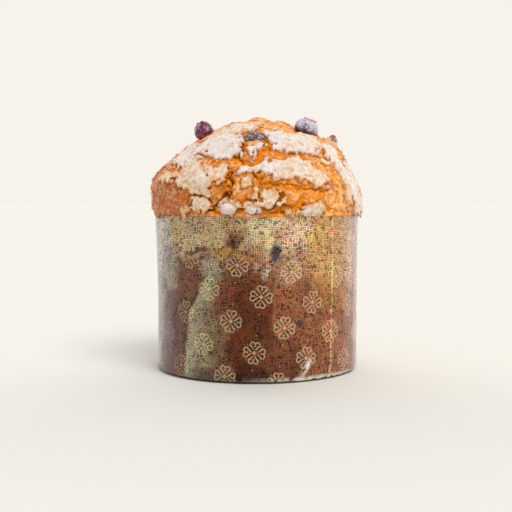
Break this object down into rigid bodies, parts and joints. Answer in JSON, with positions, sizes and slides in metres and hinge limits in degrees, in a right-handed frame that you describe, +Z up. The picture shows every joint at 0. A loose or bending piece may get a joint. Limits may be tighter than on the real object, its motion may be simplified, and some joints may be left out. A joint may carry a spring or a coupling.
{
  "type": "panettone in its paper mould",
  "caption": "Tall domed sweet loaf with a cracked sugar glaze, berries and nuts on top, baked in a patterned paper mould that it stands in.",
  "frame": {"origin": "centre of the paper base's underside, on the surface that the loaf stands on", "axes": "+Z up through the dome; -Y is the front; the mould's side seam is on the front right"},
  "size_m": [0.1391, 0.1388, 0.1641],
  "materials": {
    "printed_paper": "satin",
    "base_paper": "matte",
    "glazed_crumb": "matte",
    "bloomed_berry": "matte",
    "red_berry": "satin",
    "baked_berry": "satin",
    "sugared_berry": "matte",
    "almond": "satin"
  },
  "bodies": {
    "root": {"mould_wall": "printed_paper", "mould_base": "base_paper", "loaf": "glazed_crumb", "blueberry_right": "bloomed_berry", "blueberry_left": "red_berry", "blueberry_top": "baked_berry", "blueberry_rim_left": "sugared_berry", "blueberry_rim_right": "sugared_berry", "blueberry_back_right": "bloomed_berry", "blueberry_back_left": "red_berry", "almond_right": "almond", "almond_back": "almond"}
  },
  "joints": []
}
